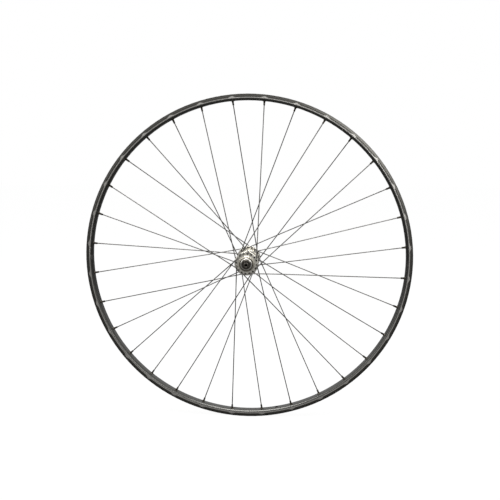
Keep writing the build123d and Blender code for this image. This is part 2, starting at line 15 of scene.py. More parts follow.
import bmesh
import bpy
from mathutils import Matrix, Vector

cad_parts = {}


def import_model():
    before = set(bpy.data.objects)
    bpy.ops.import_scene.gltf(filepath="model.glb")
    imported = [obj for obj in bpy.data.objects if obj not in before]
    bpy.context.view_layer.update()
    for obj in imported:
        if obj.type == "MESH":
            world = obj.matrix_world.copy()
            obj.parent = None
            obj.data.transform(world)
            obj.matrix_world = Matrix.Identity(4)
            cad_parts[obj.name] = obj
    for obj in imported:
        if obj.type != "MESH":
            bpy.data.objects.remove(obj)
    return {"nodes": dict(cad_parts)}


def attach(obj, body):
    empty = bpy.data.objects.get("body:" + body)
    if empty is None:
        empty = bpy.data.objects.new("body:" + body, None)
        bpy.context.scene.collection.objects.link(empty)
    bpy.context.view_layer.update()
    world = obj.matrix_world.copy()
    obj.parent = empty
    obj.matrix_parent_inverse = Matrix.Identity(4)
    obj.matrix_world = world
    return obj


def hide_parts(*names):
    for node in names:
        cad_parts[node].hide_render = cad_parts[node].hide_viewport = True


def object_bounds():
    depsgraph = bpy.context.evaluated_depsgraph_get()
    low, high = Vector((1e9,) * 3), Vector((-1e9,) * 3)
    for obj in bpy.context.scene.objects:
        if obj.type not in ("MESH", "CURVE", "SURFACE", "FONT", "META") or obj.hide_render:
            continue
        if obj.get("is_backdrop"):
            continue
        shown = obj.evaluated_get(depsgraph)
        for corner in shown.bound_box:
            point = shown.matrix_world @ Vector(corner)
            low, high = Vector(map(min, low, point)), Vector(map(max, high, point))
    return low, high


LOG = logging.getLogger("wheel")
FALLING = (1.0, 0.0)  # for a ramp that runs down from 1 to 0
WHITE = (1.0, 1.0, 1.0, 1.0)
Colour = tuple[float, float, float]
Socket = bpy.types.NodeSocket


class Side(Enum):
    """The two sides of the wheel, as the rider sees them, with their direction along Y."""

    RIGHT = -1
    LEFT = 1

    @property
    def word(self) -> str:
        """The side's name as the nodes spell it.

        Returns:
            The name in small letters.
        """
        return self.name.lower()


class Grain(Enum):
    """How a metal surface was worked, which says where its fine marks run."""

    TURNED = "turned"
    DRAWN = "drawn"
    TUMBLED = "tumbled"


# ---- node boards --------------------------------------------------------------------


@dataclass
class Board:
    """A node tree with short ways to add nodes and join them."""

    tree: bpy.types.NodeTree

    def add(self, kind: str, **settings: object) -> bpy.types.Node:
        """Add a node.

        Args:
            kind: The node's Blender type.
            settings: Properties to set on the node.

        Returns:
            The new node.
        """
        node = self.tree.nodes.new(kind)
        for name, value in settings.items():
            setattr(node, name, value)
        return node

    def feed(self, source: Socket | float | tuple, target: Socket) -> None:
        """Join a socket to a target, or set the target's own value.

        Args:
            source: A socket, a number, or a tuple of numbers.
            target: The socket that takes it.
        """
        if isinstance(source, bpy.types.NodeSocket):
            self.tree.links.new(source, target)
        else:
            target.default_value = source

    def math(self, operation: str, *values: Socket | float) -> Socket:
        """Work out one arithmetic step.

        Args:
            operation: The Math node's operation.
            values: Its inputs, in order.

        Returns:
            The result's socket.
        """
        node = self.add("ShaderNodeMath", operation=operation)
        for value, target in zip(values, node.inputs):
            self.feed(value, target)
        return node.outputs[0]

    def ramp(self, value: Socket, low: float, high: float, out: tuple = (0.0, 1.0)) -> Socket:
        """Map a value smoothly from one span to another.

        Args:
            value: The value to map.
            low: Where the span starts.
            high: Where the span ends.
            out: What the two ends map to.

        Returns:
            The mapped value's socket.
        """
        node = self.add("ShaderNodeMapRange", interpolation_type="SMOOTHSTEP")
        for source, target in zip((value, low, high, *out), node.inputs):
            self.feed(source, target)
        return node.outputs[0]

    def zone(self, value: Socket, low: float, high: float, soft: float) -> Socket:
        """Mark a span of values.

        Args:
            value: The value to test.
            low: Where the span starts.
            high: Where it ends.
            soft: Half the width over which each end fades.

        Returns:
            A mask's socket, 1 inside the span.
        """
        rise = self.ramp(value, low - soft, low + soft)
        return self.math("MULTIPLY", rise, self.ramp(value, high - soft, high + soft, FALLING))

    def blend(
        self, share: Socket | float, first: Socket | Colour, second: Socket | Colour
    ) -> Socket:
        """Mix two colours.

        Args:
            share: How much of the second colour shows.
            first: The colour at share 0.
            second: The colour at share 1.

        Returns:
            The mixed colour's socket.
        """
        node = self.add("ShaderNodeMix", data_type="RGBA")
        self.feed(share, node.inputs["Factor"])
        # The node's number and vector sockets come before its colour ones.
        for value, target in zip((first, second), node.inputs[6:8]):
            self.feed((*value, 1.0) if isinstance(value, tuple) else value, target)
        return node.outputs[2]

    def between(
        self, share: Socket | float, first: Socket | float, second: Socket | float
    ) -> Socket:
        """Mix two numbers.

        Args:
            share: How much of the second number shows.
            first: The number at share 0.
            second: The number at share 1.

        Returns:
            The mixed number's socket.
        """
        node = self.add("ShaderNodeMix", data_type="FLOAT")
        targets = (node.inputs[0], node.inputs[2], node.inputs[3])
        for value, target in zip((share, first, second), targets):
            self.feed(value, target)
        return node.outputs[0]

    def vector(self, *parts: Socket | float) -> Socket:
        """Join three numbers into a vector.

        Args:
            parts: The X, Y and Z parts.

        Returns:
            The vector's socket.
        """
        node = self.add("ShaderNodeCombineXYZ")
        for value, target in zip(parts, node.inputs):
            self.feed(value, target)
        return node.outputs[0]

    def noise(self, place: Socket, scale: float | Socket, detail: float = 4.0) -> Socket:
        """Sample smooth noise.

        Args:
            place: Where to sample it.
            scale: How fine it is.
            detail: How many finer octaves it has.

        Returns:
            The noise's socket, about 0 to 1.
        """
        node = self.add("ShaderNodeTexNoise")
        node.inputs["Detail"].default_value = detail
        self.feed(place, node.inputs["Vector"])
        self.feed(scale, node.inputs["Scale"])
        return node.outputs[0]

    def group(self, tree: bpy.types.NodeTree, **values: Socket | float) -> bpy.types.Node:
        """Place a shared group.

        Args:
            tree: The group's tree.
            values: What its inputs take, with _ for a space in a name.

        Returns:
            The group's node.
        """
        node = self.add("ShaderNodeGroup", node_tree=tree)
        for name, value in values.items():
            self.feed(value, node.inputs[name.replace("_", " ")])
        return node


class Effects:
    """The shader groups that several finishes share, each made once."""

    COARSE_SCALE = 0.17  # of the broad marks, where the fine ones are 1
    COARSE_SHARE = 0.4  # of the broad marks in the height
    SCRATCH_WIDTH = 0.035  # as a share of the cell that the scratch runs round
    SCRATCH_LEVELS = (0.52, 0.62)  # of the noise, between which scratches come in
    RING_CORE = 0.5  # how much of a ring's reach is fully shaded and dirty

    def __init__(self) -> None:
        """Make the groups in the order in which they use one another."""
        self.wheel_place = self._wheel_place()
        self.fine_marks = self._fine_marks()
        self.grime = self._grime()
        self.scuffs = self._scuffs()
        self.hole_rings = self._hole_rings()

    @staticmethod
    def _new(name: str, inputs: dict[str, float], outputs: dict[str, str]) -> tuple:
        """Start a group.

        Args:
            name: The group's name.
            inputs: Its number inputs and what they start at.
            outputs: Its outputs and their socket types.

        Returns:
            Its board, its input node and its output node.
        """
        tree = bpy.data.node_groups.new(name, "ShaderNodeTree")
        for label, start in inputs.items():
            socket = tree.interface.new_socket(label, in_out="INPUT", socket_type="NodeSocketFloat")
            socket.default_value = start
        for label, kind in outputs.items():
            tree.interface.new_socket(label, in_out="OUTPUT", socket_type=kind)
        board = Board(tree)
        return board, board.add("NodeGroupInput"), board.add("NodeGroupOutput")

    def _wheel_place(self) -> bpy.types.NodeTree:
        """Where a point lies about the axle.

        Returns:
            A group that gives the radius, the angle in turns and the place along the axle.
        """
        kind = "NodeSocketFloat"
        board, _, out = self._new("wheel_place", {}, {"Radius": kind, "Turn": kind, "Along": kind})
        place = board.add("ShaderNodeTexCoord").outputs["Object"]
        split = board.add("ShaderNodeSeparateXYZ")
        board.feed(place, split.inputs[0])
        x, along, z = split.outputs
        square = board.math("ADD", board.math("MULTIPLY", x, x), board.math("MULTIPLY", z, z))
        board.feed(board.math("SQRT", square), out.inputs["Radius"])
        board.feed(board.math("DIVIDE", board.math("ARCTAN2", z, x), tau), out.inputs["Turn"])
        board.feed(along, out.inputs["Along"])
        return board.tree

    def _fine_marks(self) -> bpy.types.NodeTree:
        """Fine parallel marks left by working the metal.

        Returns:
            A group that takes a place across the marks and one along them, and gives their height.
        """
        inputs = {"Across": 0.0, "Beside": 0.0, "Length": 0.0, "Fineness": 4000.0}
        board, taken, out = self._new("fine_marks", inputs, {"Height": "NodeSocketFloat"})
        fineness = taken.outputs["Fineness"]
        across = board.math("MULTIPLY", taken.outputs["Across"], fineness)
        beside = board.math("MULTIPLY", taken.outputs["Beside"], fineness)
        place = board.vector(across, beside, taken.outputs["Length"])
        fine = board.noise(place, 1.0, 3.0)
        coarse = board.noise(place, self.COARSE_SCALE, 2.0)
        board.feed(board.between(self.COARSE_SHARE, fine, coarse), out.inputs["Height"])
        return board.tree

    def _grime(self) -> bpy.types.NodeTree:
        """Soft patches of road dirt and tarnish.

        Returns:
            A group that gives a mask, 1 where the dirt is.
        """
        inputs = {"Scale": 60.0, "Amount": 0.5, "Softness": 0.2}
        board, taken, out = self._new("grime", inputs, {"Mask": "NodeSocketFloat"})
        place = board.add("ShaderNodeTexCoord").outputs["Object"]
        patches = board.noise(place, taken.outputs["Scale"], 5.0)
        level = board.math("SUBTRACT", 1.0, taken.outputs["Amount"])
        low = board.math("SUBTRACT", level, taken.outputs["Softness"])
        high = board.math("ADD", level, taken.outputs["Softness"])
        board.feed(board.ramp(patches, low, high), out.inputs["Mask"])
        return board.tree

    def _scuffs(self) -> bpy.types.NodeTree:
        """Short bright scratches.

        Returns:
            A group that gives a mask, 1 along each scratch.
        """
        inputs = {"Scale": 300.0, "Amount": 0.5}
        board, taken, out = self._new("scuffs", inputs, {"Mask": "NodeSocketFloat"})
        place = board.add("ShaderNodeTexCoord").outputs["Object"]
        bent = board.add("ShaderNodeTexVoronoi", feature="DISTANCE_TO_EDGE")
        board.feed(place, bent.inputs["Vector"])
        board.feed(taken.outputs["Scale"], bent.inputs["Scale"])
        thin = board.ramp(bent.outputs["Distance"], 0.0, self.SCRATCH_WIDTH, FALLING)
        patches = board.noise(place, taken.outputs["Scale"], 2.0)
        sparse = board.math("MULTIPLY", thin, board.ramp(patches, *self.SCRATCH_LEVELS))
        board.feed(board.math("MULTIPLY", sparse, taken.outputs["Amount"]), out.inputs["Mask"])
        return board.tree

    def _hole_rings(self) -> bpy.types.NodeTree:
        """The rings of shade and dirt round the spoke holes of the hub's flanges.

        Returns:
            A group that gives a mask, 1 at each hole's edge.
        """
        inputs = {"Circle": 0.0195, "Count": 16.0, "Right": 0.0461, "Left": 0.0149, "Reach": 0.0026}
        board, taken, out = self._new("hole_rings", inputs, {"Mask": "NodeSocketFloat"})
        taken = taken.outputs
        place = board.group(self.wheel_place).outputs
        leftward = board.math("GREATER_THAN", place["Along"], 0.0)
        first = board.between(leftward, taken["Right"], taken["Left"])
        steps = board.math("MULTIPLY", board.math("SUBTRACT", place["Turn"], first), taken["Count"])
        share = board.math("SUBTRACT", steps, board.math("ROUND", steps))
        beside = board.math("MULTIPLY", board.math("DIVIDE", share, taken["Count"]), tau)
        beside = board.math("MULTIPLY", beside, taken["Circle"])
        above = board.math("SUBTRACT", place["Radius"], taken["Circle"])
        squares = [board.math("POWER", length, 2.0) for length in (beside, above)]
        off = board.math("DIVIDE", board.math("SQRT", board.math("ADD", *squares)), taken["Reach"])
        board.feed(board.ramp(off, self.RING_CORE, 1.0, FALLING), out.inputs["Mask"])
        return board.tree


# ---- finishes -----------------------------------------------------------------------


@dataclass(frozen=True)
class Band:
    """A ring about the axle where painted shade and dirt darken a recess, by radius and by distance
    from the middle.
    """

    radius: tuple[float, float]
    along: tuple[float, float]
    soft: float = 0.0003

    def mask(self, board: Board, place: bpy.types.NodeOutputs) -> Socket:
        """Mark the ring.

        Args:
            board: The material's board.
            place: The outputs of the wheel_place group.

        Returns:
            A mask's socket, 1 inside the ring.
        """
        out_from_middle = board.math("ABSOLUTE", place["Along"])
        ring = board.zone(place["Radius"], *self.radius, self.soft)
        return board.math("MULTIPLY", ring, board.zone(out_from_middle, *self.along, self.soft))


TURNED_LENGTH = 6.0  # noise cells round one turn of a turned piece
DRAWN_LENGTH = 12.0  # noise cells to the metre along a drawn piece
DRAWN_SPREAD = 0.02  # how far apart a drawn piece's marks lie for one turn
TUMBLED_SHARE = 1 / 8  # noise cells round one turn, as a share of the fineness
ROUGHEST = 0.9
DIRT_ROUGHNESS = 0.25  # what dirt adds to the roughness


@dataclass(frozen=True)
class Metal:
    """A worked metal surface with fine marks, grime and scuffs.

    Colours are linear. The fine marks run round the axle on turned pieces, away from it on drawn
    ones, and every way on tumbled ones. The bands add painted shade to the grime.
    """

    name: str
    colour: Colour
    # the colour of grime, and of the painted shade in any bands
    grime_colour: Colour = (0.05, 0.045, 0.035)
    grain: Grain = Grain.TURNED
    metallic: float = 1.0
    roughness: float = 0.3
    roughness_swing: float = 0.12
    fineness: float = 5000.0
    mark_depth: float = 0.00001
    mark_tint: float = 0.25
    grime_scale: float = 70.0
    grime_amount: float = 0.3
    scuff_scale: float = 260.0
    scuff_amount: float = 0.3
    # rings of painted shade, with dirt, in recesses
    bands: tuple[Band, ...] = ()

    def material(self, effects: Effects) -> bpy.types.Material:
        """Build the finish.

        Args:
            effects: The shared shader groups.

        Returns:
            The new material.
        """
        made = bpy.data.materials.new(self.name)
        made.use_nodes = True
        board = Board(made.node_tree)
        board.tree.nodes.clear()
        shader = board.add("ShaderNodeBsdfPrincipled")
        output = board.add("ShaderNodeOutputMaterial")
        board.feed(shader.outputs[0], output.inputs["Surface"])
        shader.inputs["Metallic"].default_value = self.metallic
        self.dress(board, shader, effects)
        return made

    def marks(self, board: Board, effects: Effects) -> Socket:
        """The height of the fine marks.

        Args:
            board: The material's board.
            effects: The shared shader groups.

        Returns:
            The height's socket, about 0 to 1.
        """
        place = board.group(effects.wheel_place).outputs
        across, beside = place["Radius"], place["Along"]
        if self.grain is Grain.TURNED:
            length = board.math("MULTIPLY", place["Turn"], TURNED_LENGTH)
        elif self.grain is Grain.DRAWN:
            length = board.math("MULTIPLY", place["Radius"], DRAWN_LENGTH)
            across = board.math("MULTIPLY", place["Turn"], DRAWN_SPREAD)
        else:
            length = board.math("MULTIPLY", place["Turn"], self.fineness * TUMBLED_SHARE)
        wires = {"Across": across, "Beside": beside, "Length": length}
        return board.group(effects.fine_marks, Fineness=self.fineness, **wires).outputs["Height"]

    def dirt(self, board: Board, effects: Effects) -> Socket:
        """Where dirt and tarnish dull the surface, and where painted shade darkens its bands.

        Args:
            board: The material's board.
            effects: The shared shader groups.

        Returns:
            A mask's socket, 1 where the dirt and the painted shade are.
        """
        grime = board.group(effects.grime, Scale=self.grime_scale, Amount=self.grime_amount)
        mask = grime.outputs["Mask"]
        if self.bands:
            place = board.group(effects.wheel_place).outputs
            for band in self.bands:
                mask = board.math("MAXIMUM", mask, band.mask(board, place))
        return mask

    def dress(self, board: Board, shader: bpy.types.Node, effects: Effects) -> None:
        """Feed the shader's colour, roughness and normal.

        Args:
            board: The material's board.
            shader: The Principled shader.
            effects: The shared shader groups.
        """
        marks = self.marks(board, effects)
        dirt = self.dirt(board, effects)
        scuffs = board.group(effects.scuffs, Scale=self.scuff_scale, Amount=self.scuff_amount)
        dull = tuple(part * (1 - self.mark_tint) for part in self.colour)
        bright = tuple(min(1.0, part * (1 + self.mark_tint)) for part in self.colour)
        worked = board.blend(marks, dull, bright)
        # The grime colour paints the dirt and the bands' painted shade.
        dirty_and_shaded = board.blend(dirt, worked, self.grime_colour)
        board.feed(board.blend(scuffs.outputs["Mask"], dirty_and_shaded, bright), shader.inputs["Base Color"])
        smooth, rough = self.roughness - self.roughness_swing, self.roughness + self.roughness_swing
        worn = board.between(marks, smooth, rough)
        roughest = min(ROUGHEST, rough + DIRT_ROUGHNESS)
        board.feed(board.between(dirt, worn, roughest), shader.inputs["Roughness"])
        self.emboss(board, marks, shader, self.mark_depth)

    @staticmethod
    def emboss(board: Board, height: Socket, shader: bpy.types.Node, depth: float) -> None:
        """Raise the surface by a height.

        Args:
            board: The material's board.
            height: The height's socket, about 0 to 1.
            shader: The shader that takes the normal.
            depth: How far the highest point stands out.
        """
        bump = board.add("ShaderNodeBump")
        bump.inputs["Distance"].default_value = depth
        board.feed(height, bump.inputs["Height"])
        board.feed(bump.outputs[0], shader.inputs["Normal"])


@dataclass(frozen=True)
class ShellMetal(Metal):
    """The hub shell's polish, with painted shade and dirt round the spoke holes."""

    # how strongly the painted shade and dirt round the spoke holes show
    ring_dirt: float = 0.8

    def dirt(self, board: Board, effects: Effects) -> Socket:
        """Where dirt, and painted shade round the spoke holes and in the bands, dull the shell.

        Args:
            board: The material's board.
            effects: The shared shader groups.

        Returns:
            A mask's socket, 1 where the dirt and the painted shade are.
        """
        # The rings round the spoke holes are painted shade, with some dirt.
        rings = board.group(effects.hole_rings).outputs["Mask"]
        rings = board.math("MULTIPLY", rings, self.ring_dirt)
        return board.math("MAXIMUM", super().dirt(board, effects), rings)


@dataclass(frozen=True)
class RimMetal(Metal):
    """Hard-anodised alloy with painted shade on its lips and inner corners, a bright line of brake
    wear and painted highlight on each side wall, and old cement in its bed.
    """

    radius: float = 0.3165
    edge: float = 0.0004  # half the width over which one zone fades into the next
    lip: float = 0.0026  # how far the lip's painted shade reaches in from its tip
    lip_edge: float = 0.0008
    wall: tuple[float, float] = (0.0063, 0.0079)  # the thin bright line on the wall, brake wear and a painted highlight
    wall_edge: float = 0.0005
    wall_worn: float = 0.9  # how strongly the line's brake wear and painted highlight show
    wall_bulge: float = 0.0026  # how much wider the line is opposite a spoke hole
    bulge_length: float = 0.009
    holes: tuple[float, int] = (5.36 / 360, 32)  # the first hole's turn, and their number
    side: float = 0.0084  # what lies further out from the middle than this is the side
    dirt_share: float = 0.45
    # the bright line's brake wear and painted highlight, and also the real scuffs
    wall_colour: Colour = (0.74, 0.72, 0.68)
    # painted shade on the lips, and also the real dark seam
    lip_colour: Colour = (0.075, 0.073, 0.067)
    # painted shade in the inner corners and on the inner face
    corner_colour: Colour = (0.088, 0.087, 0.082)
    cement_colour: Colour = (0.17, 0.125, 0.075)
    cement_scale: float = 55.0
    cement_amount: float = 0.55
    cement_softness: float = 0.08
    cement_height: float = 4.0  # how far it stands out, in depths of the fine marks
    cement_roughness: float = 0.85
    bed: float = 0.0048  # how far in from the lips' tips the bed reaches
    bed_edge: tuple[float, float] = (-0.0006, 0.0002)  # where it fades, about the side's start
    seam_turn: float = 0.2806
    seam_width: float = 0.00012

    def worn_line(self, board: Board, place: bpy.types.NodeOutputs, drop: Socket) -> Socket:
        """Mark the bright line of brake wear and painted highlight along the side wall, wider
        opposite each spoke hole.

        Args:
            board: The material's board.
            place: The outputs of the wheel_place group.
            drop: The distance in from the rim's outer edge.

        Returns:
            A mask's socket, 1 on the line.
        """
        first, count = self.holes
        steps = board.math("MULTIPLY", board.math("SUBTRACT", place["Turn"], first), float(count))
        share = board.math("ABSOLUTE", board.math("SUBTRACT", steps, board.math("ROUND", steps)))
        beside = board.math("MULTIPLY", share, tau * self.radius / count)
        bulge = board.ramp(beside, 0.0, self.bulge_length, (self.wall_bulge, 0.0))
        deep = board.math("ADD", drop, bulge)
        start, end = self.wall
        outer = board.ramp(deep, start - self.wall_edge, start + self.wall_edge)
        inner = board.ramp(drop, end - self.edge, end + self.edge, FALLING)
        return board.math("MULTIPLY", outer, inner)

    def dress(self, board: Board, shader: bpy.types.Node, effects: Effects) -> None:
        """Feed the shader, with painted shade on the lips and inner corners, a bright line of brake
        wear and painted highlight on each side wall, a cemented bed and a seam.

        Args:
            board: The material's board.
            shader: The Principled shader.
            effects: The shared shader groups.
        """
        place = board.group(effects.wheel_place).outputs
        marks = self.marks(board, effects)
        dirt = self.dirt(board, effects)
        scuffs = board.group(effects.scuffs, Scale=self.scuff_scale, Amount=self.scuff_amount)
        cement = board.group(
            effects.grime,
            Scale=self.cement_scale,
            Amount=self.cement_amount,
            Softness=self.cement_softness,
        ).outputs["Mask"]

        drop = board.math("SUBTRACT", self.radius, place["Radius"])
        off_middle = board.math("ABSOLUTE", place["Along"])
        side = board.ramp(off_middle, self.side - self.edge, self.side + self.edge)
        # The lips' darker paint is painted shade.
        painted_lip_shade = board.ramp(drop, self.lip - self.lip_edge, self.lip + self.lip_edge, FALLING)
        # Inside the bright line the rim is painted darker: painted shade in the inner corner.
        below = board.ramp(drop, self.wall[1] - self.edge, self.wall[1] + 2 * self.edge)
        # The bright line is brake wear and a painted highlight.
        lit_and_rubbed = board.math("MULTIPLY", self.worn_line(board, place, drop), self.wall_worn)

        dull = tuple(part * (1 - self.mark_tint) for part in self.colour)
        bright = tuple(part * (1 + self.mark_tint) for part in self.colour)
        worked = board.blend(marks, dull, bright)
        lip_shaded = board.blend(board.math("MULTIPLY", painted_lip_shade, side), worked, self.lip_colour)
        corner_shaded = board.blend(below, lip_shaded, self.corner_colour)
        wall_highlit = board.blend(board.math("MULTIPLY", lit_and_rubbed, side), corner_shaded, self.wall_colour)
        dirt = board.math("MULTIPLY", dirt, self.dirt_share)
        dirty_and_shaded = board.blend(dirt, wall_highlit, self.grime_colour)
        scuffed = board.blend(scuffs.outputs["Mask"], dirty_and_shaded, self.wall_colour)
        bed_start, bed_end = (self.side + shift for shift in self.bed_edge)
        between_lips = board.ramp(off_middle, bed_start, bed_end, FALLING)
        in_bed = board.ramp(drop, self.bed, self.bed + self.edge, FALLING)
        cement = board.math("MULTIPLY", cement, board.math("MULTIPLY", between_lips, in_bed))
        bedded = board.blend(cement, scuffed, self.cement_colour)
        off_seam = board.math("ABSOLUTE", board.math("SUBTRACT", place["Turn"], self.seam_turn))
        half_seam = self.seam_width / (tau * self.radius)
        seam = board.ramp(off_seam, half_seam, 2 * half_seam, FALLING)
        board.feed(board.blend(seam, bedded, self.lip_colour), shader.inputs["Base Color"])

        smooth, rough = self.roughness - self.roughness_swing, self.roughness + self.roughness_swing
        worn = board.between(marks, smooth, rough)
        board.feed(board.between(cement, worn, self.cement_roughness), shader.inputs["Roughness"])
        board.feed(board.math("SUBTRACT", 1.0, cement), shader.inputs["Metallic"])
        raised = board.math("ADD", marks, board.math("MULTIPLY", cement, self.cement_height))
        self.emboss(board, board.math("SUBTRACT", raised, seam), shader, self.mark_depth)


class Finishes:
    """Every finish of the wheel, by the kind of piece that wears it."""

    def __init__(self, effects: Effects) -> None:
        """Build the materials.

        Args:
            effects: The shared shader groups.
        """
        # Painted shade, with dirt, in the hub's recesses: the groove by a dust cap, a flange's root
        # and a cap's brim.
        groove = Band((0.0112, 0.0136), (0.0400, 0.0440))
        root = Band((0.0145, 0.0158), (0.0350, 0.0366), 0.0006)
        brim = Band((0.0114, 0.0125), (0.0400, 0.0420), 0.0002)
        kinds = [
            RimMetal("anodised_rim", (0.104, 0.101, 0.092), roughness=0.30, roughness_swing=0.03,
                     fineness=2500.0, mark_depth=0.000003, mark_tint=0.08, grime_amount=0.2,
                     scuff_amount=0.08),
            Metal("drawn_spoke", (0.125, 0.122, 0.116), grain=Grain.DRAWN, roughness=0.36,
                  roughness_swing=0.02, mark_depth=0.000002, mark_tint=0.04, grime_amount=0.15,
                  grime_scale=30.0, grime_colour=(0.075, 0.072, 0.066), scuff_amount=0.0),
            Metal("tarnished_nipple", (0.045, 0.040, 0.030), grain=Grain.TUMBLED, roughness=0.4,
                  grime_amount=0.5, scuff_amount=0.6, scuff_scale=500.0),
            Metal("plated_eyelet", (0.22, 0.20, 0.17), grain=Grain.TUMBLED, roughness=0.35,
                  grime_amount=0.5),
            ShellMetal("polished_shell", (0.80, 0.775, 0.70), roughness=0.32, roughness_swing=0.06,
                       mark_tint=0.08, grime_colour=(0.17, 0.155, 0.12), grime_amount=0.3,
                       grime_scale=60.0, scuff_amount=0.2, bands=(groove, root)),
            Metal("bright_cap", (0.74, 0.72, 0.67), roughness=0.18, roughness_swing=0.05,
                  mark_tint=0.1, grime_colour=(0.05, 0.042, 0.032), grime_amount=0.2,
                  grime_scale=150.0, bands=(brim,)),
            Metal("ground_steel", (0.55, 0.55, 0.55), roughness=0.16, roughness_swing=0.06,
                  mark_tint=0.1, grime_amount=0.2),
            Metal("turned_cone", (0.17, 0.16, 0.148), roughness=0.34, grime_amount=0.45,
                  grime_scale=200.0),
            Metal("blackened_nut", (0.085, 0.077, 0.068), roughness=0.34, grime_amount=0.3,
                  scuff_amount=0.6, scuff_scale=400.0, grime_scale=240.0),
            Metal("dark_axle", (0.130, 0.120, 0.108), roughness=0.32, grime_amount=0.35,
                  grime_scale=220.0),
        ]
        self.by_name = {kind.name: kind.material(effects) for kind in kinds}

    def wear(self, piece: bpy.types.Object, name: str) -> None:
        """Put a finish on a whole piece.

        Args:
            piece: The object to dress.
            name: The finish's name.
        """
        mesh = piece.data
        if not mesh.materials:
            mesh.materials.append(None)
        for index in range(len(mesh.materials)):
            mesh.materials[index] = self.by_name[name]
        LOG.info("%s wears %s", piece.name, name)


# ---- sub-assemblies -----------------------------------------------------------------


@dataclass
class Dresser:
    """What every sub-assembly needs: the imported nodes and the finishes."""

    nodes: dict[str, bpy.types.Object]
    finishes: Finishes

    def dress(self, finish: str, *names: str) -> None:
        """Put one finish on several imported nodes.

        Args:
            finish: The finish's name.
            names: The nodes to dress.
        """
        for name in names:
            self.finishes.wear(self.nodes[name], finish)

    def dress_pair(self, finish: str, name: str) -> None:
        """Put one finish on the right and left nodes of a pair.

        Args:
            finish: The finish's name.
            name: The pair's shared name.
        """
        self.dress(finish, *[f"{name}_{side.word}" for side in Side])


@dataclass
class RimAndSpokes:
    """The rim, its eyelets, and the laced spokes with their nipples."""

    dresser: Dresser

    def build(self) -> None:
        """Dress the pieces."""
        self.dresser.dress("anodised_rim", "rim")
        self.dresser.dress("plated_eyelet", "spoke_eyelets")
        self.dresser.dress_pair("tarnished_nipple", "nipples")
        for side in Side:
            for hand in ("leading", "trailing"):
                self.dresser.dress("drawn_spoke", f"spokes_{side.word}_{hand}")


@dataclass
class Hub:
    """The hub shell, its bearings and its dust caps."""

    dresser: Dresser

    def build(self) -> None:
        """Dress the pieces."""
        self.dresser.dress("polished_shell", "hub_shell")
        self.dresser.dress_pair("bright_cap", "dust_cap")
        self.dresser.dress_pair("ground_steel", "bearing_cup")
        self.dresser.dress_pair("ground_steel", "bearing_balls")
        self.dresser.dress_pair("turned_cone", "cone")


@dataclass(frozen=True)
class ThreadedAxle:
    """The hollow axle with rolled threads, a keyway and a relief groove at each end."""

    radius: float = 0.0045
    bore: float = 0.0026
    end: float = 0.054
    chamfer: float = 0.0005
    bore_chamfer: float = 0.0002
    thread_start: float = 0.0355
    run_in: float = 0.001
    pitch: float = 0.001
    depth: float = 0.00055
    flat: float = 0.16  # share of the pitch at the crest, and again at the root
    keyway_start: float = 0.0378
    keyway_floor: float = 0.0037
    keyway_half_turn: float = radians(12.2)
    keyway_edge: float = radians(0.6)  # between the two points at each edge of the keyway
    edge_clearance: float = radians(1.2)  # how far the even points keep from those
    tolerance: float = 1e-6
    groove: tuple[float, float] = (0.0490, 0.0500)
    groove_radius: float = 0.0042
    steps_per_pitch: int = 8
    steps_around: int = 90
    sharpest_smooth: float = radians(28)  # edges that turn further than this stay sharp

    def angles(self) -> list[float]:
        """The angles of the points round the axle, with a close pair at each keyway edge.

        Returns:
            The angles in order.
        """
        even = [tau * step / self.steps_around for step in range(self.steps_around)]
        edges = []
        for side in (-1, 1):
            for offset in (0.0, self.keyway_edge):
                edges.append(tau / 4 + side * (self.keyway_half_turn + offset))
        clear = self.edge_clearance
        kept = [angle for angle in even if all(abs(angle - edge) > clear for edge in edges)]
        return sorted(kept + edges)

    def places(self) -> list[float]:
        """The rows' places along the axle, from one end to the other.

        Returns:
            The places in order.
        """
        count = round((self.end - self.thread_start) / self.pitch * self.steps_per_pitch)
        step = (self.end - self.thread_start) / count
        half = [self.thread_start + step * row for row in range(count + 1)]
        return [-place for place in reversed(half)] + half

    def height(self, along: float, angle: float) -> float:
        """The outer surface's radius.

        Args:
            along: The place along the axle.
            angle: The angle from +X towards +Z.

        Returns:
            The radius there.
        """
        out = abs(along)
        phase = (along / self.pitch + angle / tau) % 1.0
        slope = (abs(2 * phase - 1) - self.flat) / (1 - 2 * self.flat)
        cut = min(1.0, max(0.0, slope)) * min(1.0, (out - self.thread_start) / self.run_in)
        level = self.radius - self.depth * cut
        if self.groove[0] <= out < self.groove[1]:
            level = min(level, self.groove_radius)
        level = min(level, self.radius - self.chamfer + self.end - out)
        off_key = abs(angle - tau / 4)
        if out > self.keyway_start and off_key <= self.keyway_half_turn + self.tolerance:
            level = min(level, self.keyway_floor / cos(off_key))
        return level

    def build(self) -> bpy.types.Object:
        """Make the axle's mesh.

        Returns:
            The new object.
        """
        angles = self.angles()
        rows = [[(self.height(place, angle), place) for angle in angles] for place in self.places()]
        for radius, place in (
            (self.bore + self.bore_chamfer, self.end),
            (self.bore, self.end - self.bore_chamfer),
            (self.bore, self.bore_chamfer - self.end),
            (self.bore + self.bore_chamfer, -self.end),
        ):
            rows.append([(radius, place)] * len(angles))
        mesh = bmesh.new()
        rings = [
            [
                mesh.verts.new((radius * cos(angle), place, radius * sin(angle)))
                for angle, (radius, place) in zip(angles, row)
            ]
            for row in rows
        ]
        for ring, following in zip(rings, rings[1:] + rings[:1]):
            for index in range(len(angles)):
                beside = (index + 1) % len(angles)
                corners = (ring[index], following[index], following[beside], ring[beside])
                mesh.faces.new(corners)
        bmesh.ops.recalc_face_normals(mesh, faces=mesh.faces)
        data = bpy.data.meshes.new("threaded_axle")
        mesh.to_mesh(data)
        mesh.free()
        data.shade_smooth()
        data.set_sharp_from_angle(angle=self.sharpest_smooth)
        axle = bpy.data.objects.new("threaded_axle", data)
        bpy.context.scene.collection.objects.link(axle)
        return axle


